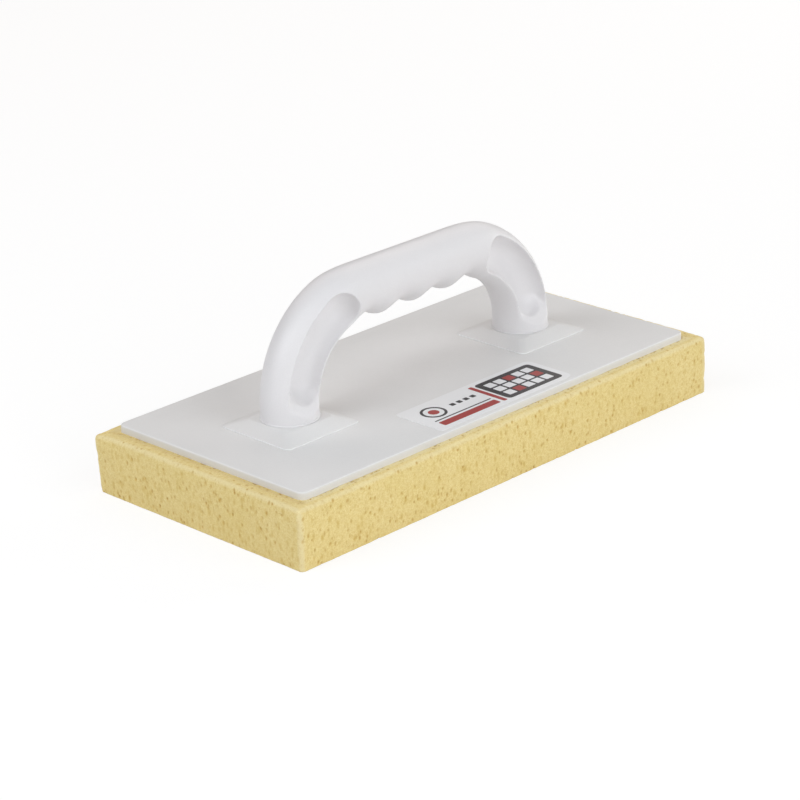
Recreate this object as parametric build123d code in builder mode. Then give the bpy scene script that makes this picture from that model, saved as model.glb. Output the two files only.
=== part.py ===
"""Grout float: a foam sponge glued under a moulded plate with a two-legged bail handle.

The origin is the centre of the sponge's bottom face. +X runs along the float, +Z is up.
"""
import os
from math import asin, cos, degrees, pi, radians, sin

from build123d import *

os.makedirs("parts", exist_ok=True)

# Sponge, and the film of glue on top of it
sponge_length = 280.0
sponge_width = 140.0
sponge_height = 30.0
sponge_corner = 1.5
sponge_edge_round = 1.2
glue_thickness = 0.15
glue_inset = 0.8

# Base plate
plate_length = 264.2
plate_width = 127.5
plate_thickness = 3.55
plate_corner = 4.0
plate_edge_round = 0.8

# Square foot on the plate under each leg: a low lip, then sloping sides up to a flat seat
foot_side = 46.8
foot_corner = 3.0
foot_lip = 0.6
foot_rise = 3.9
seat_margin = 0.7
seat_corner = 4.0

# Handle: one round bar bent down into two legs
leg_spacing = 159.2
leg_radius = 14.0
leg_end_round = 0.3
leg_straight = 4.9
bend_radius = 46.0
bar_half_width = 13.6
bar_top_depth = 12.8

# Finger grooves along the underside of the bar
finger_count = 4
finger_pitch = 22.8
finger_crest_depth = 15.1
finger_groove = 3.8
shoulder_length = 17.2
steps_per_finger = 8
steps_per_shoulder = 8

# Scoop in each side of each leg, as cut by a ball that follows the leg round the bend
scoop_radius = 9.7
scoop_web = 5.0
scoop_start = 17.4
scoop_end_angle = 64.5

# Sloping ledge cut below the foot of each scoop
ledge_start = 3.2
ledge_slope = 55.0
ledge_inset = 0.2

# Screws: two up through the plate into each leg
screw_radius = 2.0
screw_spacing = 13.0
screw_length = 19.0
screw_tip_length = 2.5
screw_tip_radius = 0.6
screw_head_radius = 4.0
screw_hole_clearance = 0.25
recess_length = 4.6
recess_width = 1.1
recess_depth = 1.6

# Label on the front margin of the plate
label_length = 92.0
label_width = 30.8
label_thickness = 0.2
label_right_corner = 4.0
label_left_corner = 1.5
label_shift = 5.6
label_edge_gap = 2.0

# Heights and places that follow from these
glue_top = sponge_height + glue_thickness
plate_top = glue_top + plate_thickness
seat_height = plate_top + foot_rise
seat_side = 2 * (leg_radius + seat_margin)
bend_start = seat_height + leg_straight
bar_axis = bend_start + bend_radius
leg_x = leg_spacing / 2
bend_end_x = leg_x - bend_radius
last_groove = finger_pitch * (finger_count - 1) / 2
grip_end = last_groove + shoulder_length
grip_turn = degrees((grip_end - bend_end_x) / bend_radius)
screw_places = [
    (side * leg_x + step * screw_spacing / 2, 0) for side in (-1, 1) for step in (-1, 1)
]


def ease(start, end, share):
    """Go from start to end along half a cosine wave, level at both ends."""
    share = min(max(share, 0.0), 1.0)
    return start + (end - start) * (1 - cos(pi * share)) / 2


def underside_depth(travel):
    """Depth below the centreline, at a distance along it from the middle of the bar."""
    groove_depth = finger_crest_depth - finger_groove
    if travel <= last_groove:
        phase = 2 * pi * (last_groove - travel) / finger_pitch
        return groove_depth + finger_groove * (1 - cos(phase)) / 2
    return ease(groove_depth, leg_radius, (travel - last_groove) / shoulder_length)


def handle_plane(travel):
    """Plane across the centreline at a signed distance along it from the middle."""
    bend = max(abs(travel) - bend_end_x, 0.0) / bend_radius
    bend = bend if travel >= 0 else -bend
    straight = min(max(travel, -bend_end_x), bend_end_x)
    x = straight + bend_radius * sin(bend)
    z = bend_start + bend_radius * cos(bend)
    ahead = Vector(cos(bend), 0, -sin(bend))
    return Plane(origin=(x, 0, z), x_dir=(0, 1, 0), z_dir=ahead)


def grip_travels():
    """Distances from the middle at which the grip's section is drawn, both ways."""
    grip_steps = steps_per_finger * (finger_count - 1) // 2
    one_side = [last_groove * i / grip_steps for i in range(1, grip_steps)]
    one_side += [
        last_groove + shoulder_length * i / steps_per_shoulder
        for i in range(steps_per_shoulder + 1)
    ]
    return [-travel for travel in reversed(one_side)] + [0.0] + one_side


# Sponge
with BuildPart() as sponge_pad:
    with BuildSketch():
        RectangleRounded(sponge_length, sponge_width, sponge_corner)
    extrude(amount=sponge_height)
    fillet(sponge_pad.faces().sort_by(Axis.Z)[-1].edges(), sponge_edge_round)
sponge_pad.part.label = "sponge_pad"
export_step(sponge_pad.part, "parts/sponge_pad.step")

# Film of glue between the sponge and the plate
with BuildPart() as glue_film:
    with BuildSketch(Plane.XY.offset(sponge_height)):
        RectangleRounded(
            plate_length - 2 * glue_inset,
            plate_width - 2 * glue_inset,
            plate_corner - glue_inset,
        )
    extrude(amount=glue_thickness)
glue_film.part.label = "glue_film"
export_step(glue_film.part, "parts/glue_film.step")

# Base plate with its two feet and the countersunk screw holes
with BuildPart() as base_plate:
    with BuildSketch(Plane.XY.offset(glue_top)):
        RectangleRounded(plate_length, plate_width, plate_corner)
    extrude(amount=plate_thickness)
    fillet(base_plate.faces().sort_by(Axis.Z)[-1].edges(), plate_edge_round)
    with BuildSketch(Plane.XY.offset(plate_top)):
        with Locations((-leg_x, 0), (leg_x, 0)):
            RectangleRounded(foot_side, foot_side, foot_corner)
    extrude(amount=foot_lip)
    for side in (-1, 1):
        with BuildSketch(Plane.XY.offset(plate_top + foot_lip)):
            with Locations((side * leg_x, 0)):
                RectangleRounded(foot_side, foot_side, foot_corner)
        with BuildSketch(Plane.XY.offset(seat_height)):
            with Locations((side * leg_x, 0)):
                RectangleRounded(seat_side, seat_side, seat_corner)
        loft(ruled=True)
    with Locations(Plane(origin=(0, 0, glue_top), x_dir=(1, 0, 0), z_dir=(0, 0, -1))):
        with Locations(*screw_places):
            CounterSinkHole(
                radius=screw_radius + screw_hole_clearance,
                counter_sink_radius=screw_head_radius,
                depth=plate_thickness + foot_rise,
                counter_sink_angle=90,
            )
base_plate.part.label = "base_plate"
export_step(base_plate.part, "parts/base_plate.step")

# Cutter for the scoop in the front of the left leg: a trough round the bend, with ball ends
scoop_axis_y = scoop_web / 2 + scoop_radius
scoop_start_angle = degrees(asin((scoop_start - leg_straight) / bend_radius))
scoop_turn = scoop_end_angle - scoop_start_angle


def scoop_plane(turn, ahead):
    """Plane across the scoop a number of degrees round the bend, facing on or back."""
    turn = radians(turn)
    x = -bend_end_x - bend_radius * cos(turn)
    z = bend_start + bend_radius * sin(turn)
    along = Vector(sin(turn), 0, cos(turn)) * ahead
    return Plane(origin=(x, -scoop_axis_y, z), x_dir=(0, 1, 0), z_dir=along)


with BuildPart() as scoop:
    with BuildLine(Plane.XZ.offset(scoop_axis_y)) as scoop_path:
        CenterArc((-bend_end_x, bend_start), bend_radius, 180 - scoop_start_angle, -scoop_turn)
    with BuildSketch(scoop_plane(scoop_start_angle, 1)):
        Circle(scoop_radius)
    sweep(path=scoop_path.line)
    with Locations(scoop_plane(scoop_start_angle, -1), scoop_plane(scoop_end_angle, 1)):
        Sphere(
            scoop_radius,
            arc_size1=0,
            arc_size2=90,
            align=(Align.CENTER, Align.CENTER, Align.MIN),
        )

# Cutter for the ledge that slopes down and out from the foot of that scoop
ledge_angle = radians(ledge_slope)
with BuildPart() as ledge:
    with BuildLine(Plane.XZ.offset(scoop_axis_y)) as ledge_path:
        Line((-leg_x, seat_height), (-leg_x, bend_start))
        CenterArc((-bend_end_x, bend_start), bend_radius, 180, -scoop_start_angle)
    with BuildSketch(Plane(origin=(-leg_x, -scoop_axis_y, seat_height))):
        Circle(scoop_radius - ledge_inset)
    sweep(path=ledge_path.line)
    split(
        bisect_by=Plane(
            origin=(-leg_x, -leg_radius, seat_height + ledge_start),
            x_dir=(1, 0, 0),
            z_dir=(0, -sin(ledge_angle), cos(ledge_angle)),
        ),
        keep=Keep.TOP,
    )
front_scoop = scoop.part + ledge.part
left_scoops = front_scoop + front_scoop.mirror(Plane.XZ)
scoops = left_scoops + left_scoops.mirror(Plane.YZ)

# Handle: the legs and bends are one round bar, and the grip between them is lofted
with BuildPart() as handle:
    with BuildLine(Plane.XZ) as leg_path:
        Line((-leg_x, seat_height), (-leg_x, bend_start))
        CenterArc((-bend_end_x, bend_start), bend_radius, 180, grip_turn - 90)
    with BuildSketch(Plane(origin=(-leg_x, 0, seat_height))):
        Circle(leg_radius)
    sweep(path=leg_path.line)
    fillet(handle.edges().group_by(Axis.Z)[0], leg_end_round)
    mirror(about=Plane.YZ)
    for travel in grip_travels():
        share = (abs(travel) - last_groove) / shoulder_length
        half_width = ease(bar_half_width, leg_radius, share)
        with BuildSketch(handle_plane(travel)):
            with BuildLine():
                top_depth = ease(bar_top_depth, leg_radius, share)
                EllipticalCenterArc((0, 0), half_width, top_depth, 0, arc_size=180)
                bottom_depth = underside_depth(abs(travel))
                EllipticalCenterArc((0, 0), half_width, bottom_depth, 180, arc_size=180)
            make_face()
    loft()
    with Locations(Plane(origin=(0, 0, seat_height), x_dir=(1, 0, 0), z_dir=(0, 0, -1))):
        with Locations(*screw_places):
            Hole(radius=screw_radius, depth=screw_length - plate_thickness - foot_rise)
    add(scoops, mode=Mode.SUBTRACT)
handle.part.label = "handle"
export_step(handle.part, "parts/handle.step")

# Countersunk screws, heads flush with the underside of the plate
head_height = screw_head_radius - screw_radius
for number, place in enumerate(screw_places, start=1):
    with BuildPart() as screw:
        with BuildSketch(Plane.XZ):
            with BuildLine():
                Polyline(
                    (0, 0),
                    (screw_head_radius, 0),
                    (screw_radius, head_height),
                    (screw_radius, screw_length - screw_tip_length),
                    (screw_tip_radius, screw_length),
                    (0, screw_length),
                    close=True,
                )
            make_face()
        revolve(axis=Axis.Z)
        with BuildSketch():
            Rectangle(recess_length, recess_width)
            Rectangle(recess_width, recess_length)
        extrude(amount=recess_depth, mode=Mode.SUBTRACT)
    seated = screw.part.moved(Location((place[0], place[1], glue_top)))
    seated.label = f"handle_screw_{number}"
    export_step(seated, f"parts/handle_screw_{number}.step")

# Label
label_y = -(plate_width - label_width) / 2 + plate_edge_round + label_edge_gap
with BuildPart() as label_sticker:
    with BuildSketch(Plane.XY.offset(plate_top)):
        with Locations((label_shift, label_y)):
            Rectangle(label_length, label_width)
    extrude(amount=label_thickness)
    upright = label_sticker.edges().filter_by(Axis.Z)
    fillet(upright.group_by(Axis.X)[-1], label_right_corner)
    fillet(label_sticker.edges().filter_by(Axis.Z).group_by(Axis.X)[0], label_left_corner)
label_sticker.part.label = "label_sticker"
export_step(label_sticker.part, "parts/label_sticker.step")
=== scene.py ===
"""Grout float: the finish of every part, a soft studio set and a camera.

Lengths are metres in the frame of the CAD model: +X along the float, +Z up.
"""
import math
import random

import bmesh
import bpy
from mathutils import Matrix, Vector, noise
from mathutils.kdtree import KDTree


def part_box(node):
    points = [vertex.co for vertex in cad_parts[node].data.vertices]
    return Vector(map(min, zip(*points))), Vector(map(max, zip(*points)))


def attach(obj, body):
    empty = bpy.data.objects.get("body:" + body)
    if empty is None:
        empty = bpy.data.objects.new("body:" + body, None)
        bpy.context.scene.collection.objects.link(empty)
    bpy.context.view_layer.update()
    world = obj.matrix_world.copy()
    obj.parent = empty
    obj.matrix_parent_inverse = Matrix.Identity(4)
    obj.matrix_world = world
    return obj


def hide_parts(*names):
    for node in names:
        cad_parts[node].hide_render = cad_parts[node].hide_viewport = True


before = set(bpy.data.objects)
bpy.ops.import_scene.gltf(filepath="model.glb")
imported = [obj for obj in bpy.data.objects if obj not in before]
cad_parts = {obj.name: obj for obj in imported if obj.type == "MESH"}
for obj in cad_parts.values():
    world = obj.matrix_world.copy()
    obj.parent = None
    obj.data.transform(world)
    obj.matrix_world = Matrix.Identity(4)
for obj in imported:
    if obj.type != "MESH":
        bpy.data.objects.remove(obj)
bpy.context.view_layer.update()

MM = 0.001
MERGE_DISTANCE = 0.001 * MM

# Foam slab: the size of its even faces, its rounded edges, how its walls belly out, and how
# one top corner flares where the slab was cut
FOAM_GRID = 0.5 * MM
FOAM_CORNER, FOAM_CORNER_STEPS = 1.4 * MM, 5
FOAM_RIM, FOAM_RIM_STEPS = 1.9 * MM, 4
FOAM_BULGE = 0.4 * MM
LEFT_END_SPREAD = 0.3 * MM
RIGHT_END_SPREAD = 3 * LEFT_END_SPREAD
FOAM_FLARE, FOAM_FLARE_REACH = 1.3 * MM, 12.0 * MM

# Uneven cut of the slab: (swing, length) of its waves, and the bites out of its rim and sole
CUT_WAVES = ((0.16 * MM, 9 * MM), (0.08 * MM, 2.4 * MM))
NIBBLE_DEPTH, NIBBLE_LENGTH, NIBBLE_BIAS = 0.6 * MM, 3.1 * MM, 0.1

# Bands of the slab, each the two distances between which a finish fades in or out: the rim's
# painted highlight, the edge of the sole, the strip beside the plate, and the stretch of glue
# stain and painted crease shade
RIM_STRENGTH, RIM_BAND = 0.8, (0.6 * MM, 2.6 * MM)
SOLE_EDGE_BAND = (0.5 * MM, 2.2 * MM)
BESIDE_PLATE_BAND = (-4 * MM, -0.5 * MM)
STAIN_AND_SHADE_BAND = (-2 * MM, 4 * MM)

# Foam under the plate: how far in it starts to lie flat, how far it stays clear of the glue,
# how far it may rise at the plate's edge, and where its fine faces give way to a flat one
UNDER_PLATE = 0.6 * MM
UNDER_PLATE_GAP = 0.05 * MM
PLATE_EDGE_RISE = 0.1 * MM
FOAM_HIDDEN_MARGIN, FOAM_HIDDEN_DEPTH = 6.0 * MM, 4 * MM

# Pores: how many in a square centimetre of the slab, and the spans of their half width,
# half height and depth in millimetres, and of their tint, which past 0.95 paints shade in their
# depths
PORE_KINDS = {
    "deep": (0.4, (0.5, 0.8), (0.8, 1.4), (0.5, 0.8), (1.0, 1.35)),
    "middling": (1.9, (0.7, 1.05), (1.0, 1.7), (0.15, 0.3), (0.5, 0.95)),
    "small": (7.0, (0.4, 0.65), (0.5, 1.0), (0.08, 0.2), (0.2, 0.5)),
}
PORE_SEED = 7
PORE_SEARCH = 1.1
PORE_FLAT_SHARE = 0.15
SQUARE_CENTIMETRE = (10 * MM) ** 2

# Pores torn open along the plate's edge: their step, and the spans, in millimetres, of how far
# out they lie and of their radius
EDGE_PORE_STEP = 2.6 * MM
EDGE_PORE_OUT, EDGE_PORE_RADIUS = (-0.2, 1.1), (0.35, 0.75)
# Their depth, and their tint, high enough to paint shade in them along the plate's edge
EDGE_PORE_DEPTH, EDGE_PORE_TINT_AND_SHADE = 1.0 * MM, (0.8, 1.7)

# Moulded handle: the size of its even faces and how its rims are softened. A horn is the sharp
# tip where a scoop's foot meets its ledge, here as its place along X, Y and Z from a leg's axis
HANDLE_GRID = 0.6 * MM
SMOOTH_FACTOR = 0.5
HANDLE_SMOOTH_PASSES = 4
SCOOP_HORN = (9.3 * MM, 9.2 * MM, 11.4 * MM)
SCOOP_HORN_REACH, SCOOP_HORN_CORE = 5.5 * MM, 0.3
SCOOP_HORN_PASSES = 40

# Bead round the foot of each leg
BEAD_RADIUS = 0.45 * MM
BEAD_LIFT = 0.8 * BEAD_RADIUS
BEAD_SIDES, BEAD_STEPS = 14, 72

# Plate: its own sizes, its broken edges, how deep it is bedded in the foam, and the turn past
# which an edge counts as one
PLATE_THICKNESS = 3.55 * MM
FOOT_LIP = 0.6 * MM
PLATE_BEVEL, PLATE_BEVEL_STEPS = 0.45 * MM, 3
PLATE_BED = 0.45 * MM
LIP_TURN = math.radians(14)
FLAT_TURN = math.radians(0.5)
TOUCH = 0.01 * MM

# Painted highlights, pale bands along the plate's top edge and the lips of its feet: low and
# high, and how pale
plate_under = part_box("base_plate")[0].z
plate_top = plate_under + PLATE_THICKNESS
PLATE_PAINTED_HIGHLIGHTS = (
    (plate_top - 0.45 * MM, plate_top - 0.05 * MM, 0.3),
    (plate_top + 0.05 * MM, plate_top + FOOT_LIP + 0.05 * MM, 0.65),
)
PAINTED_HIGHLIGHT_FADE = 0.1 * MM

# Print on the label, in millimetres from the corner of its film: left, bottom, right, top
INK_THICKNESS = 0.02 * MM
INK_GAP = 0.005 * MM
PANEL, PANEL_CORNER = (50, 3.2, 88.4, 27.6), 2.2
RULE = (6, 9.8, 44, 10.7)
SQUARES = [(25.5 + 4.6 * step, 17.6, 28.3 + 4.6 * step, 20.4) for step in range(4)]
STRIPES = [(6, 3.4, 44, 8.2), (46, 3.2, 48.6, 27.6)]
TARGET, TARGET_RING, TARGET_DISC = (14, 19), (6.6, 5.2), 2.8
SQUARE_CORNER, STRIPE_CORNER, TILE_CORNER = 0.4, 0.8, 0.5
TILE, TILE_JOINT, TILE_COLUMNS, TILE_ROWS = 5.2, 1.3, 5, 3
PATCH_CORNER_STEPS, ROUND_STEPS = 5, 40

# Softboxes: azimuth and elevation in degrees, power and tint
SOFTBOXES = {
    "left_softbox": (-110, 35, 11.7, (0.96, 0.975, 1.0)),
    "high_softbox": (-75, 62, 7.7, (0.92, 0.96, 1.0)),
    "front_softbox": (-15, 12, 11.0, (0.98, 0.99, 1.0)),
    "front_high_softbox": (15, 35, 7.2, (0.935, 0.965, 1.0)),
    "right_softbox": (80, 12, 10.8, (1.0, 0.98, 0.93)),
    "rear_right_softbox": (120, 35, 5.0, (1.0, 0.93, 0.87)),
    "rear_softbox": (165, 35, 3.7, (1.0, 0.83, 0.73)),
}
SOFTBOX_DISTANCE, SOFTBOX_SIZE = 1.8, 1.0
SOFTBOX_TARGET = Vector((0, 0, 0.04))
WORLD_STRENGTH = 0.1

# Floor: half its side, its own grey, and how it glows for the camera alone
FLOOR_SIZE = 6.0
FLOOR_GREY = 0.86
FLOOR_GLOW, FLOOR_GLOW_SHARE = 1.12, 0.7

# Camera
CAMERA_LENS, CAMERA_SENSOR = 126.77, 36.0
CAMERA_SHIFT = (-0.0025, 0.0003)
CAMERA_CLIP = (0.1, 30.0)
CAMERA_AZIMUTH, CAMERA_ELEVATION, CAMERA_ROLL = -44.33, 21.80, -2.29
CAMERA_DISTANCE = 1354.5 * MM
CAMERA_TARGET = Vector((-18.26, -12.61, 30.0)) * MM


# ---------------------------------------------------------------- helpers


def linear(red, green, blue):
    """A screen colour, 0 to 255 a channel, as the linear colour that a shader takes."""
    parts = []
    for value in (red, green, blue):
        share = value / 255
        parts.append(share / 12.92 if share <= 0.04045 else ((share + 0.055) / 1.055) ** 2.4)
    return (*parts, 1.0)


def smooth_step(start, end, value):
    """0 before start, 1 after end, and an S-curve between them."""
    share = min(max((value - start) / (end - start), 0.0), 1.0)
    return share * share * (3 - 2 * share)


def direction(azimuth, elevation):
    """The way from the float to a place at these degrees round it and above it."""
    turn, tilt = math.radians(azimuth), math.radians(elevation)
    return Vector(
        (math.sin(turn) * math.cos(tilt), -math.cos(turn) * math.cos(tilt), math.sin(tilt))
    )


def mesh_object(name, mesh):
    """A mesh as a piece in the scene."""
    piece = bpy.data.objects.new(name, mesh)
    bpy.context.scene.collection.objects.link(piece)
    return piece


def piece_from_bmesh(name, bm):
    """A finished bmesh as a piece in the scene."""
    mesh = bpy.data.meshes.new(name)
    bm.to_mesh(mesh)
    bm.free()
    return mesh_object(name, mesh)


def bake_modifiers(piece):
    """Replace a piece's mesh by what its modifiers make of it."""
    graph = bpy.context.evaluated_depsgraph_get()
    mesh = bpy.data.meshes.new_from_object(piece.evaluated_get(graph))
    piece.modifiers.clear()
    piece.data = mesh
    mesh.name = piece.name


def merged_copy(node, name):
    """A copy of a CAD node's mesh with its loose triangles joined."""
    bm = bmesh.new()
    bm.from_mesh(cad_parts[node].data)
    bmesh.ops.remove_doubles(bm, verts=bm.verts, dist=MERGE_DISTANCE)
    bmesh.ops.recalc_face_normals(bm, faces=bm.faces)
    return piece_from_bmesh(name, bm)


def round_off(bm, geometry, radius, steps, affect="EDGES"):
    """Round edges, or the corners of a flat face."""
    bmesh.ops.bevel(
        bm,
        geom=geometry,
        offset=radius,
        segments=steps,
        profile=0.5,
        affect=affect,
        material=-1,
    )


def add_even_grid(piece, size):
    """Remake a closed piece from small even faces."""
    remesh = piece.modifiers.new("even_grid", "REMESH")
    remesh.mode = "VOXEL"
    remesh.voxel_size = size
    return remesh


def add_smoothing(piece, name, passes):
    """Melt a piece's sharp forms a little."""
    smooth = piece.modifiers.new(name, "SMOOTH")
    smooth.factor = SMOOTH_FACTOR
    smooth.iterations = passes
    return smooth


def shade_smooth(mesh):
    """Shade a mesh as one smooth skin."""
    for polygon in mesh.polygons:
        polygon.use_smooth = True


def set_material(mesh, material):
    """Give a mesh one material in place of what it had."""
    mesh.materials.clear()
    mesh.materials.append(material)


# -------------------------------------------------------------- materials


class Nodes:
    """Adds nodes to a tree and links them by socket name."""

    def __init__(self, tree):
        self.tree = tree

    def feed(self, node, inputs):
        """Link other nodes' outputs to a node's sockets and set its plain values."""
        for key, value in inputs.items():
            if isinstance(value, bpy.types.NodeSocket):
                self.tree.links.new(value, node.inputs[key])
            else:
                node.inputs[key].default_value = value

    def add(self, kind, inputs=None, **settings):
        node = self.tree.nodes.new(kind)
        for key, value in settings.items():
            setattr(node, key, value)
        self.feed(node, inputs or {})
        return node

    def math(self, operation, first, second=0.0, clamp=False):
        node = self.add("ShaderNodeMath", {0: first, 1: second}, operation=operation)
        node.use_clamp = clamp
        return node.outputs[0]

    def mix(self, factor, first, second):
        """One colour laid over another by a factor."""
        node = self.add("ShaderNodeMix", data_type="RGBA")
        self.feed(node, {0: factor, 6: first, 7: second})
        return node.outputs[2]

    def ramp(self, value, low, high, to_low=0.0, to_high=1.0):
        """A value's span from low to high spread over another span, and held at its ends."""
        inputs = {"Value": value, "From Min": low, "From Max": high}
        inputs.update({"To Min": to_low, "To Max": to_high})
        node = self.add("ShaderNodeMapRange", inputs, clamp=True)
        return node.outputs[0]

    def place(self):
        """Where a point lies on its piece."""
        return self.add("ShaderNodeTexCoord").outputs["Object"]

    def noise(self, place, scale, detail):
        inputs = {"Vector": place, "Scale": scale, "Detail": detail}
        return self.add("ShaderNodeTexNoise", inputs).outputs[0]

    def attribute(self, name):
        return self.add("ShaderNodeAttribute", attribute_name=name).outputs["Fac"]

    def bump(self, height, strength, distance):
        inputs = {"Height": height, "Strength": strength, "Distance": distance}
        return self.add("ShaderNodeBump", inputs).outputs[0]


FLOAT = "NodeSocketFloat"
COLOUR = "NodeSocketColor"


def new_group(name, inputs, outputs):
    """A shader node group with float or colour sockets; returns it, its nodes and its ends."""
    tree = bpy.data.node_groups.new(name, "ShaderNodeTree")
    for socket, (kind, value) in inputs.items():
        made = tree.interface.new_socket(socket, in_out="INPUT", socket_type=kind)
        made.default_value = value
    for socket, kind in outputs.items():
        tree.interface.new_socket(socket, in_out="OUTPUT", socket_type=kind)
    nodes = Nodes(tree)
    return tree, nodes, nodes.add("NodeGroupInput").outputs, nodes.add("NodeGroupOutput")


def make_moulded_skin():
    """The skin of moulded plastic: fine grain, slow waves in the gloss and a faint mottle."""
    tree, nodes, given, result = new_group(
        "moulded_skin",
        {
            "Colour": (COLOUR, (0.8, 0.8, 0.8, 1)),
            "Shade": (COLOUR, (0.7, 0.7, 0.7, 1)),
            "Roughness": (FLOAT, 0.45),
            "Grain": (FLOAT, 1.0),
        },
        {"Colour": COLOUR, "Roughness": FLOAT, "Height": FLOAT},
    )
    place = nodes.place()
    slow = nodes.noise(place, 28, 3)
    fine = nodes.noise(place, 1500, 2)
    peel = nodes.noise(place, 420, 2)
    mottle = nodes.ramp(slow, 0.3, 0.75)
    speckle = nodes.ramp(fine, 0.35, 0.7, 0.0, 0.35)
    blend = nodes.math("ADD", nodes.math("MULTIPLY", mottle, 0.5), speckle, clamp=True)
    drift = nodes.ramp(slow, 0.3, 0.7, -0.04, 0.05)
    sparkle = nodes.ramp(fine, 0.3, 0.7, -0.05, 0.05)
    height = nodes.math("ADD", fine, nodes.math("MULTIPLY", peel, 2.0))
    nodes.feed(
        result,
        {
            "Colour": nodes.mix(blend, given["Colour"], given["Shade"]),
            "Roughness": nodes.math(
                "ADD", given["Roughness"], nodes.math("ADD", drift, sparkle)
            ),
            "Height": nodes.math("MULTIPLY", height, given["Grain"]),
        },
    )
    return tree


def new_material(name):
    """An empty material with a Principled shader; returns it, its nodes and the shader."""
    material = bpy.data.materials.new(name)
    material.use_nodes = True
    material.node_tree.nodes.clear()
    nodes = Nodes(material.node_tree)
    shader = nodes.add("ShaderNodeBsdfPrincipled")
    nodes.add("ShaderNodeOutputMaterial", {"Surface": shader.outputs[0]})
    return material, nodes, shader


def moulded_plastic(name, colour, shade, roughness, grain, painted_highlight_bands=()):
    """Satin moulded plastic, with painted highlights as paler bands of height (low, high,
    strength).
    """
    material, nodes, shader = new_material(name)
    skin = nodes.add(
        "ShaderNodeGroup",
        {"Colour": colour, "Shade": shade, "Roughness": roughness, "Grain": grain},
        node_tree=moulded_skin,
    ).outputs
    finish = skin["Colour"]
    if painted_highlight_bands:
        up = nodes.add("ShaderNodeSeparateXYZ", {"Vector": nodes.place()}).outputs["Z"]
    # Painted highlight: each band lays near white over the skin's colour
    for low, high, strength in painted_highlight_bands:
        above = nodes.ramp(up, low, low + PAINTED_HIGHLIGHT_FADE)
        below = nodes.ramp(up, high - PAINTED_HIGHLIGHT_FADE, high, strength, 0.0)
        finish = nodes.mix(nodes.math("MULTIPLY", above, below), finish, linear(252, 252, 252))
    nodes.feed(
        shader,
        {
            "Base Color": finish,
            "Roughness": skin["Roughness"],
            "Normal": nodes.bump(skin["Height"], 0.12, 0.05 * MM),
            "Specular IOR Level": 0.4,
        },
    )
    return material


def foam_material():
    """Open-celled sponge: painted highlight at its rims, amber in its pores with painted shade in
    the deep ones, and brown where it meets the glue, from glue stain and painted crease shade.
    """
    material, nodes, shader = new_material("sponge_foam")
    place = nodes.place()
    pore, rim, ring = (nodes.attribute(name) for name in ("pore", "rim", "ring"))
    patch = nodes.noise(place, 60, 3)
    mottle = nodes.noise(place, 800, 4)
    grain = nodes.noise(place, 2000, 1)
    stretched = nodes.add("ShaderNodeMapping", {"Vector": place, "Scale": (1.0, 1.0, 0.55)})

    # The foam itself: two close yellows in patches, broken by a mottle and a fine grain
    body = nodes.mix(
        nodes.ramp(patch, 0.35, 0.7), linear(245, 226, 163), linear(241, 221, 154)
    )
    body = nodes.mix(nodes.ramp(mottle, 0.38, 0.7, 0.0, 0.5), body, linear(226, 198, 120))
    body = nodes.mix(nodes.ramp(grain, 0.42, 0.68, 0.0, 0.5), body, linear(216, 187, 112))

    # Cells too small to model, in two sizes: scale, radius and strength
    height = nodes.math("MULTIPLY", mottle, 0.6)
    for scale, radius, strength in ((400, 0.5, 0.65), (850, 0.4, 0.55)):
        cells = nodes.add(
            "ShaderNodeTexVoronoi", {"Vector": stretched.outputs[0], "Scale": scale}
        )
        chance = nodes.add("ShaderNodeSeparateColor", {"Color": cells.outputs["Color"]})
        spot = nodes.ramp(cells.outputs["Distance"], 0.05, radius, 1.0, 0.0)
        share = nodes.math("POWER", chance.outputs[0], 2.2)
        spot = nodes.math("MULTIPLY", spot, nodes.math("MULTIPLY", share, strength))
        body = nodes.mix(spot, body, linear(206, 166, 66))
        height = nodes.math("SUBTRACT", height, spot)

    # The glue's stain with painted crease shade, the rims' painted highlight, and the modelled
    # pores with painted shade in their depths
    body = nodes.mix(nodes.math("MULTIPLY", ring, 0.45), body, linear(205, 176, 112))
    body = nodes.mix(nodes.math("MULTIPLY", rim, 0.45), body, linear(247, 236, 196))
    tinted = nodes.math("MULTIPLY", pore, 0.95, clamp=True)
    body = nodes.mix(tinted, body, linear(198, 154, 62))
    # Painted shade: pores whose tint passes 0.95 darken to brown in their depths
    body = nodes.mix(nodes.ramp(pore, 0.95, 1.6), body, linear(140, 104, 56))
    nodes.feed(
        shader,
        {
            "Base Color": body,
            "Roughness": nodes.ramp(mottle, 0.3, 0.7, 0.86, 0.98),
            "Normal": nodes.bump(height, 0.45, 0.2 * MM),
            "Specular IOR Level": 0.2,
            "Sheen Weight": 0.15,
        },
    )
    return material


def glue_material():
    """Amber contact glue with small bubbles."""
    material, nodes, shader = new_material("contact_glue")
    blobs = nodes.noise(nodes.place(), 320, 3)
    colours = (linear(150, 112, 58), linear(196, 165, 104))
    nodes.feed(
        shader,
        {
            "Base Color": nodes.mix(nodes.ramp(blobs, 0.35, 0.65), *colours),
            "Roughness": nodes.ramp(blobs, 0.3, 0.7, 0.3, 0.55),
            "Normal": nodes.bump(blobs, 0.5, 0.2 * MM),
        },
    )
    return material


def steel_material():
    """Zinc-plated steel, brushed round by the screwdriver and the thread die."""
    material, nodes, shader = new_material("zinc_plated_steel")
    place = nodes.place()
    fine = nodes.noise(place, 2600, 2)
    patch = nodes.noise(place, 500, 3)
    colours = (linear(196, 198, 200), linear(160, 162, 166))
    nodes.feed(
        shader,
        {
            "Base Color": nodes.mix(nodes.ramp(patch, 0.3, 0.7), *colours),
            "Roughness": nodes.ramp(fine, 0.3, 0.7, 0.25, 0.45),
            "Metallic": 1.0,
        },
    )
    return material


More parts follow.
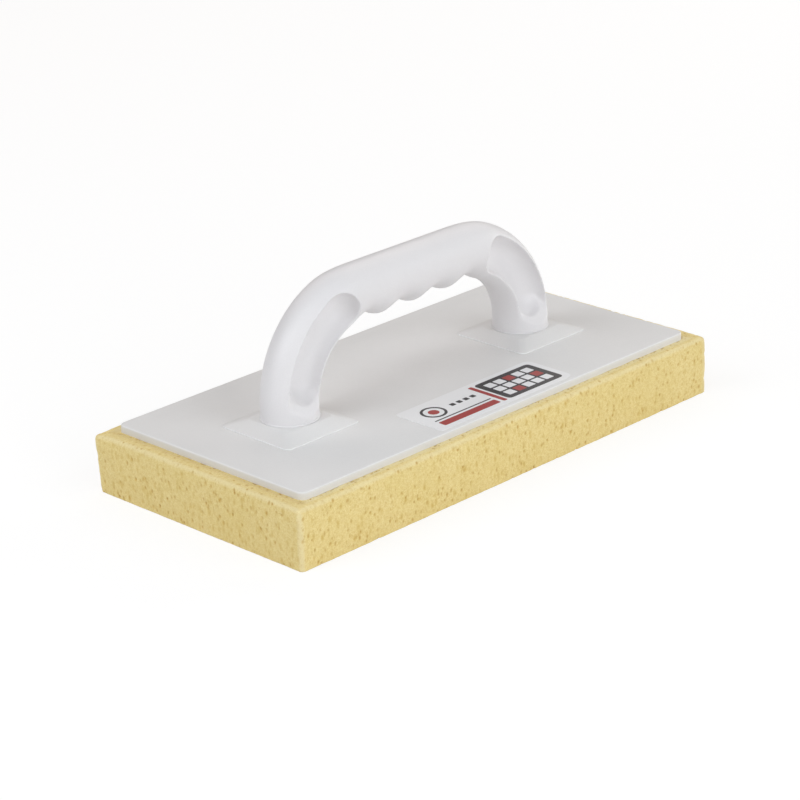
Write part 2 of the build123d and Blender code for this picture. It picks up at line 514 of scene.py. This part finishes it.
def print_material(name, colour, roughness):
    """A printed film: smooth ink with faint paper fibre below it."""
    material, nodes, shader = new_material(name)
    fibre = nodes.noise(nodes.place(), 1800, 3)
    darker = tuple(0.7 * part for part in colour[:3]) + (1.0,)
    nodes.feed(
        shader,
        {
            "Base Color": nodes.mix(nodes.ramp(fibre, 0.3, 0.7, 0.0, 0.1), colour, darker),
            "Roughness": nodes.ramp(fibre, 0.3, 0.7, roughness - 0.05, roughness + 0.05),
            "Normal": nodes.bump(fibre, 0.08, 0.02 * MM),
        },
    )
    return material


moulded_skin = make_moulded_skin()
plate_plastic = moulded_plastic(
    "plate_plastic",
    linear(232, 231, 230),
    linear(226, 225, 224),
    roughness=0.5,
    grain=1.0,
    painted_highlight_bands=PLATE_PAINTED_HIGHLIGHTS,
)
handle_plastic = moulded_plastic(
    "handle_plastic",
    linear(237, 235, 236),
    linear(230, 228, 229),
    roughness=0.42,
    grain=0.7,
)


# ----------------------------------------------------------------- sponge


def foam_slab(low, high):
    """The plain slab: rounded upright corners and top rim, divided into even small faces."""
    bm = bmesh.new()
    bmesh.ops.create_cube(bm, size=1.0)
    bmesh.ops.scale(bm, vec=high - low, verts=bm.verts)
    bmesh.ops.translate(bm, vec=(low + high) / 2, verts=bm.verts)
    upright = [e for e in bm.edges if abs(e.verts[0].co.z - e.verts[1].co.z) > MM]
    round_off(bm, upright, FOAM_CORNER, FOAM_CORNER_STEPS)
    middle = (low.z + high.z) / 2
    rim = [e for e in bm.edges if min(v.co.z for v in e.verts) > middle]
    round_off(bm, rim, FOAM_RIM, FOAM_RIM_STEPS)
    slab = piece_from_bmesh("sponge", bm)
    add_even_grid(slab, FOAM_GRID)
    bake_modifiers(slab)
    return slab


def scatter_pores(low, high, plate_low, plate_high):
    """Pores as (place, half width, half height, depth, tint), in the slab's faces; a tint past
    0.95 also paints shade.
    """
    draw = random.Random(PORE_SEED)
    size = high - low
    along_x, along_y = Vector((size.x, 0, 0)), Vector((0, size.y, 0))
    along_z = Vector((0, 0, size.z))
    faces = [
        (low, along_x, along_z),
        (Vector((low.x, high.y, low.z)), along_x, along_z),
        (low, along_y, along_z),
        (Vector((high.x, low.y, low.z)), along_y, along_z),
        (low, along_x, along_y),
        (Vector((low.x, low.y, high.z)), along_x, along_y),
    ]
    pores = []
    for corner, along, across in faces:
        area = along.length * across.length / SQUARE_CENTIMETRE
        for density, wide, tall, deep, tint in PORE_KINDS.values():
            for _ in range(round(area * density)):
                place = corner + along * draw.random() + across * draw.random()
                sizes = [draw.uniform(*span) * MM for span in (wide, tall, deep)]
                pores.append((place, *sizes, draw.uniform(*tint)))
    near, far = Vector((*plate_low.xy, high.z)), Vector((*plate_high.xy, high.z))
    for corner, turn in ((near, 1), (far, -1)):
        for ahead, outward in (((1, 0), (0, -1)), ((0, 1), (-1, 0))):
            ahead, outward = turn * Vector((*ahead, 0)), turn * Vector((*outward, 0))
            length = abs((far - near).dot(ahead))
            for _ in range(round(length / EDGE_PORE_STEP)):
                place = corner + ahead * length * draw.random()
                place += outward * draw.uniform(*EDGE_PORE_OUT) * MM
                radius = draw.uniform(*EDGE_PORE_RADIUS) * MM
                tint = draw.uniform(*EDGE_PORE_TINT_AND_SHADE)
                pores.append((place, radius, radius, EDGE_PORE_DEPTH, tint))
    return pores


def press_pores(mesh, pores):
    """How deep the pores press in each point of the slab, and how strongly they tint it, past
    0.95 with painted shade.
    """
    tree = KDTree(len(mesh.vertices))
    for vertex in mesh.vertices:
        tree.insert(vertex.co, vertex.index)
    tree.balance()
    depths = [0.0] * len(mesh.vertices)
    tints_and_shade = [0.0] * len(mesh.vertices)
    for place, half, tall, depth, tint in pores:
        for spot, index, _ in tree.find_range(place, max(half, tall) * PORE_SEARCH):
            away = spot - place
            outness = math.hypot(math.hypot(away.x, away.y) / half, away.z / tall)
            share = 1 - smooth_step(PORE_FLAT_SHARE, 1.0, outness)
            depths[index] = max(depths[index], depth * share)
            tints_and_shade[index] = max(tints_and_shade[index], share * tint)
    return depths, tints_and_shade


def uneven_cut(spot, edge):
    """How far the knife's uneven cut moves a point; edge is 1 at a rim, 0 on a face."""
    waves = sum(swing * noise.noise(spot / length) for swing, length in CUT_WAVES)
    nibble = min(noise.noise(spot / NIBBLE_LENGTH) + NIBBLE_BIAS, 0)
    return waves + NIBBLE_DEPTH * nibble * edge


def carve_foam(slab, low, high, plate_low, plate_high):
    """Push the pores and the uneven cut into the slab, and note them for its material."""
    mesh = slab.data
    normals = [v.normal.copy() for v in mesh.vertices]
    depths, tints_and_shade = press_pores(mesh, scatter_pores(low, high, plate_low, plate_high))
    middle = (low + high) / 2
    half_size = (high - low) / 2
    flare_corner = Vector((low.x, high.y, high.z))
    rim_highlights, stain_and_shade = [], []
    for vertex, normal, depth in zip(mesh.vertices, normals, depths):
        spot = vertex.co.copy()
        to_faces = (
            half_size.x - abs(spot.x - middle.x),
            half_size.y - abs(spot.y - middle.y),
            high.z - spot.z,
        )
        to_rim = sorted(to_faces)[1]
        inside = min(
            spot.x - plate_low.x,
            plate_high.x - spot.x,
            spot.y - plate_low.y,
            plate_high.y - spot.y,
        )
        upright = 1 - abs(normal.z)
        # Painted highlight along the rims; the same band also sets where the cut is nibbled
        rim = RIM_STRENGTH - RIM_STRENGTH * smooth_step(*RIM_BAND, to_rim)
        sole_edge = (1 - smooth_step(*SOLE_EDGE_BAND, spot.z - low.z)) * upright
        height_share = (spot.z - middle.z) / half_size.z
        bulge = FOAM_BULGE * (1 - height_share**2) * upright
        bulge += (LEFT_END_SPREAD if normal.x < 0 else RIGHT_END_SPREAD) * abs(normal.x)
        shift = uneven_cut(spot, max(rim, sole_edge)) + bulge - depth
        faces_up = normal.z > 0.5
        if faces_up and inside > UNDER_PLATE:
            shift = min(shift, 0.0) - UNDER_PLATE_GAP
        elif faces_up and inside > 0:
            shift = min(shift, PLATE_EDGE_RISE)
        vertex.co = spot + normal * shift
        vertex.co.z = max(vertex.co.z, low.z)
        from_flare = (spot - flare_corner).length / FOAM_FLARE_REACH
        vertex.co.x -= FOAM_FLARE * math.exp(-(from_flare**2))
        # Beside the plate: glue stain with painted crease shade at the glued end, and a painted
        # highlight on the rest of the strip
        beside = max(normal.z, 0.0) * smooth_step(*BESIDE_PLATE_BAND, inside)
        stain_and_shade_share = 1 - smooth_step(*STAIN_AND_SHADE_BAND, spot.x - plate_low.x)
        stain_and_shade.append(beside * stain_and_shade_share)
        rim_highlights.append(max(rim, beside * (1 - stain_and_shade_share)))
    for name, values in (("pore", tints_and_shade), ("rim", rim_highlights), ("ring", stain_and_shade)):
        mesh.attributes.new(name, "FLOAT", "POINT").data.foreach_set("value", values)
    shade_smooth(mesh)


def close_hidden_top(slab, high, plate_low, plate_high):
    """Swap the fine faces deep under the plate for one flat face."""
    margin = FOAM_HIDDEN_MARGIN

    def is_hidden(face):
        middle = face.calc_center_median()
        return (
            middle.z > high.z - FOAM_HIDDEN_DEPTH
            and plate_low.x + margin < middle.x < plate_high.x - margin
            and plate_low.y + margin < middle.y < plate_high.y - margin
        )

    bm = bmesh.new()
    bm.from_mesh(slab.data)
    hidden = [face for face in bm.faces if is_hidden(face)]
    bmesh.ops.delete(bm, geom=hidden, context="FACES")
    open_edges = [e for e in bm.edges if e.is_boundary]
    bmesh.ops.holes_fill(bm, edges=open_edges, sides=0)
    bm.to_mesh(slab.data)
    bm.free()


def make_sponge():
    """The foam pad in the place of its plain CAD solid."""
    low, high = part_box("sponge_pad")
    plate_low, plate_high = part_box("base_plate")
    slab = foam_slab(low, high)
    carve_foam(slab, low, high, plate_low, plate_high)
    close_hidden_top(slab, high, plate_low, plate_high)
    set_material(slab.data, foam_material())
    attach(slab, "root")
    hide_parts("sponge_pad")


# ----------------------------------------------------------------- handle


def leg_axes():
    """The centre of each leg at its foot, and the radius of a leg."""
    low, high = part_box("handle")
    radius = (high.y - low.y) / 2
    return [Vector((side * (high.x - radius), 0, low.z)) for side in (-1, 1)], radius


def soften_scoop_horns(handle):
    """Melt the small horns where the foot of each scoop meets its ledge."""
    away_x, away_y, up = SCOOP_HORN
    horns = [
        axis + Vector((across * away_x, side * away_y, up))
        for axis in leg_axes()[0]
        for across in (-1, 1)
        for side in (-1, 1)
    ]
    group = handle.vertex_groups.new(name="scoop_horns")
    for vertex in handle.data.vertices:
        distance = min((vertex.co - horn).length for horn in horns)
        share = 1 - smooth_step(SCOOP_HORN_CORE, 1.0, distance / SCOOP_HORN_REACH)
        if share > 0:
            group.add([vertex.index], share, "REPLACE")
    melt = add_smoothing(handle, "melt", SCOOP_HORN_PASSES)
    melt.vertex_group = group.name
    bpy.context.view_layer.update()
    bake_modifiers(handle)


def make_handle():
    """The handle with the rims of its scoops melted round, as a mould leaves them."""
    handle = merged_copy("handle", "grip_handle")
    add_even_grid(handle, HANDLE_GRID).use_smooth_shade = True
    add_smoothing(handle, "soften", HANDLE_SMOOTH_PASSES)
    bake_modifiers(handle)
    soften_scoop_horns(handle)
    set_material(handle.data, handle_plastic)
    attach(handle, "root")
    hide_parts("handle")


def make_leg_beads():
    """A thin rounded bead round the foot of each leg."""
    axes, radius = leg_axes()
    start = Matrix.Translation((radius, 0, 0)) @ Matrix.Rotation(math.radians(90), 4, "X")
    for number, axis in enumerate(axes, 1):
        bm = bmesh.new()
        bmesh.ops.create_circle(
            bm, cap_ends=False, radius=BEAD_RADIUS, segments=BEAD_SIDES, matrix=start
        )
        bmesh.ops.spin(
            bm,
            geom=bm.verts[:] + bm.edges[:],
            cent=(0, 0, 0),
            axis=(0, 0, 1),
            dvec=(0, 0, 0),
            angle=math.tau,
            steps=BEAD_STEPS,
            use_merge=True,
            use_normal_flip=False,
            use_duplicate=False,
        )
        bmesh.ops.translate(bm, vec=axis + Vector((0, 0, BEAD_LIFT)), verts=bm.verts)
        bmesh.ops.recalc_face_normals(bm, faces=bm.faces)
        bead = piece_from_bmesh(f"leg_bead_{number}", bm)
        shade_smooth(bead.data)
        set_material(bead.data, handle_plastic)
        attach(bead, "root")


# ------------------------------------------------------------------ plate


def make_plate():
    """The base plate, bedded a little into the foam, with its outward edges broken."""
    plate = merged_copy("base_plate", "float_plate")
    bm = bmesh.new()
    bm.from_mesh(plate.data)
    bmesh.ops.dissolve_limit(bm, angle_limit=FLAT_TURN, verts=bm.verts, edges=bm.edges)
    for vertex in bm.verts:
        if vertex.co.z < plate_under + TOUCH:
            vertex.co.z -= PLATE_BED
    weight = bm.edges.layers.float.new("bevel_weight_edge")
    for edge in bm.edges:
        turn = edge.calc_face_angle_signed()
        edge.smooth = abs(turn) < LIP_TURN
        edge[weight] = 1.0 if turn > LIP_TURN else 0.0
    bm.to_mesh(plate.data)
    bm.free()
    bevel = plate.modifiers.new("broken_edges", "BEVEL")
    bevel.width = PLATE_BEVEL
    bevel.segments = PLATE_BEVEL_STEPS
    bevel.limit_method = "WEIGHT"
    bevel.harden_normals = True
    shade_smooth(plate.data)
    set_material(plate.data, plate_plastic)
    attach(plate, "root")
    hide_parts("base_plate")


# ------------------------------------------------------------------ label


def rounded_patch(low, high, corner):
    """A flat rounded rectangle between two corners in the XY plane, as a bmesh."""
    bm = bmesh.new()
    bmesh.ops.create_grid(bm, x_segments=1, y_segments=1, size=0.5)
    bmesh.ops.scale(bm, vec=(high.x - low.x, high.y - low.y, 1), verts=bm.verts)
    centre = ((low.x + high.x) / 2, (low.y + high.y) / 2, 0)
    bmesh.ops.translate(bm, vec=centre, verts=bm.verts)
    round_off(bm, bm.verts[:], corner, PATCH_CORNER_STEPS, affect="VERTICES")
    return bm


def ring_patch(centre, outer, inner):
    """A flat ring in the XY plane, as a bmesh; an inner radius of 0 makes a disc."""
    bm = bmesh.new()
    bmesh.ops.create_circle(bm, cap_ends=inner == 0, radius=outer, segments=ROUND_STEPS)
    if inner:
        bmesh.ops.create_circle(bm, cap_ends=False, radius=inner, segments=ROUND_STEPS)
        bmesh.ops.bridge_loops(bm, edges=bm.edges[:])
    bmesh.ops.translate(bm, vec=centre, verts=bm.verts)
    return bm


def print_on_label(name, patches, height, material):
    """Lay patches of one ink on the label, a hair above its film."""
    whole = bmesh.new()
    for patch in patches:
        mesh = bpy.data.meshes.new("patch")
        patch.to_mesh(mesh)
        patch.free()
        whole.from_mesh(mesh)
        bpy.data.meshes.remove(mesh)
    bmesh.ops.translate(whole, vec=(0, 0, height), verts=whole.verts)
    bmesh.ops.recalc_face_normals(whole, faces=whole.faces)
    for face in whole.faces:
        if face.normal.z < 0:
            face.normal_flip()
    top = bmesh.ops.extrude_face_region(whole, geom=whole.faces[:])
    lifted = [item for item in top["geom"] if isinstance(item, bmesh.types.BMVert)]
    bmesh.ops.translate(whole, vec=(0, 0, INK_THICKNESS), verts=lifted)
    bmesh.ops.recalc_face_normals(whole, faces=whole.faces)
    ink = piece_from_bmesh(name, whole)
    set_material(ink.data, material)
    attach(ink, "root")


def make_label_print():
    """A plain printed pattern for the label: a tiled panel, stripes, a ring and squares."""
    low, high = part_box("label_sticker")
    film_top = high.z + INK_GAP
    charcoal = print_material("charcoal_ink", linear(40, 38, 41), 0.4)
    red = print_material("dark_red_ink", linear(166, 50, 46), 0.4)
    white = print_material("white_ink", linear(238, 238, 240), 0.4)

    def spot(along, up):
        return Vector((low.x + along * MM, low.y + up * MM, 0))

    def patch(left, bottom, right, top, corner):
        return rounded_patch(spot(left, bottom), spot(right, top), corner * MM)

    outer, inner = TARGET_RING
    dark = [patch(*PANEL, PANEL_CORNER)]
    dark += [patch(*sides, SQUARE_CORNER) for sides in [RULE, *SQUARES]]
    dark.append(ring_patch(spot(*TARGET), outer * MM, inner * MM))
    print_on_label("label_charcoal", dark, film_top, charcoal)

    bright = [patch(*sides, STRIPE_CORNER) for sides in STRIPES]
    bright.append(ring_patch(spot(*TARGET), TARGET_DISC * MM, 0))
    print_on_label("label_red", bright, film_top, red)

    tiles = {white: [], red: []}
    left, bottom, right, top = PANEL
    first_left = (left + right - TILE_COLUMNS * TILE - (TILE_COLUMNS - 1) * TILE_JOINT) / 2
    first_up = (bottom + top - TILE_ROWS * TILE - (TILE_ROWS - 1) * TILE_JOINT) / 2
    for column in range(TILE_COLUMNS):
        for row in range(TILE_ROWS):
            along = first_left + column * (TILE + TILE_JOINT)
            up = first_up + row * (TILE + TILE_JOINT)
            ink = red if (column + 2 * row) % 5 == 1 else white
            tiles[ink].append(patch(along, up, along + TILE, up + TILE, TILE_CORNER))
    print_on_label("label_white_tiles", tiles[white], film_top + INK_THICKNESS, white)
    print_on_label("label_red_tiles", tiles[red], film_top + INK_THICKNESS, red)


def dress_nodes():
    """Give the CAD nodes that stay in sight their materials."""
    dress = {
        "glue_film": glue_material(),
        "label_sticker": print_material("label_film", linear(240, 240, 241), 0.35),
    }
    steel = steel_material()
    for number in range(1, 5):
        dress[f"handle_screw_{number}"] = steel
    for node, material in dress.items():
        set_material(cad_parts[node].data, material)


# --------------------------------------------------------- stage and camera


def make_floor():
    """A plain white floor that takes the float's shadow."""
    bm = bmesh.new()
    bmesh.ops.create_grid(bm, x_segments=1, y_segments=1, size=FLOOR_SIZE)
    floor = piece_from_bmesh("studio_floor", bm)
    material = bpy.data.materials.new("white_floor")
    material.use_nodes = True
    material.node_tree.nodes.clear()
    nodes = Nodes(material.node_tree)
    grey = (FLOOR_GREY, FLOOR_GREY, FLOOR_GREY, 1)
    diffuse = nodes.add("ShaderNodeBsdfDiffuse", {"Color": grey})
    glow = nodes.add("ShaderNodeEmission", {"Color": (1, 1, 1, 1), "Strength": FLOOR_GLOW})
    seen = nodes.add("ShaderNodeLightPath").outputs["Is Camera Ray"]
    share = nodes.math("MULTIPLY", seen, FLOOR_GLOW_SHARE)
    mixed = nodes.add(
        "ShaderNodeMixShader", {0: share, 1: diffuse.outputs[0], 2: glow.outputs[0]}
    )
    nodes.add("ShaderNodeOutputMaterial", {"Surface": mixed.outputs[0]})
    set_material(floor.data, material)


def add_softbox(name, azimuth, elevation, power, tint):
    """A square soft lamp on a sphere round the float."""
    lamp = bpy.data.lights.new(name, "AREA")
    lamp.shape = "SQUARE"
    lamp.size = SOFTBOX_SIZE
    lamp.energy = power
    lamp.color = tint
    stand = bpy.data.objects.new(name, lamp)
    bpy.context.scene.collection.objects.link(stand)
    back = direction(azimuth, elevation)
    stand.location = SOFTBOX_TARGET + back * SOFTBOX_DISTANCE
    stand.rotation_euler = (-back).to_track_quat("-Z", "Y").to_euler()


def make_lights():
    """Soft studio light: a ring of softboxes round the float, in a dim white room."""
    for name, settings in SOFTBOXES.items():
        add_softbox(name, *settings)
    world = bpy.data.worlds.new("studio")
    world.use_nodes = True
    bpy.context.scene.world = world
    background = world.node_tree.nodes["Background"]
    background.inputs["Color"].default_value = (1, 1, 1, 1)
    background.inputs["Strength"].default_value = WORLD_STRENGTH


def make_camera():
    """A long lens from the front left, a little above the float."""
    camera = bpy.data.cameras.new("camera")
    camera.lens = CAMERA_LENS
    camera.sensor_width = CAMERA_SENSOR
    camera.shift_x, camera.shift_y = CAMERA_SHIFT
    camera.clip_start, camera.clip_end = CAMERA_CLIP
    stand = bpy.data.objects.new("camera", camera)
    bpy.context.scene.collection.objects.link(stand)
    back = direction(CAMERA_AZIMUTH, CAMERA_ELEVATION)
    stand.matrix_world = (
        Matrix.Translation(CAMERA_TARGET + back * CAMERA_DISTANCE)
        @ (-back).to_track_quat("-Z", "Y").to_matrix().to_4x4()
        @ Matrix.Rotation(math.radians(CAMERA_ROLL), 4, "Z")
    )
    bpy.context.scene.camera = stand


# ------------------------------------------------------------------- main

make_camera()
make_sponge()
make_handle()
make_leg_beads()
make_plate()
make_label_print()
dress_nodes()
make_floor()
make_lights()

bpy.context.scene.view_settings.view_transform = "Standard"
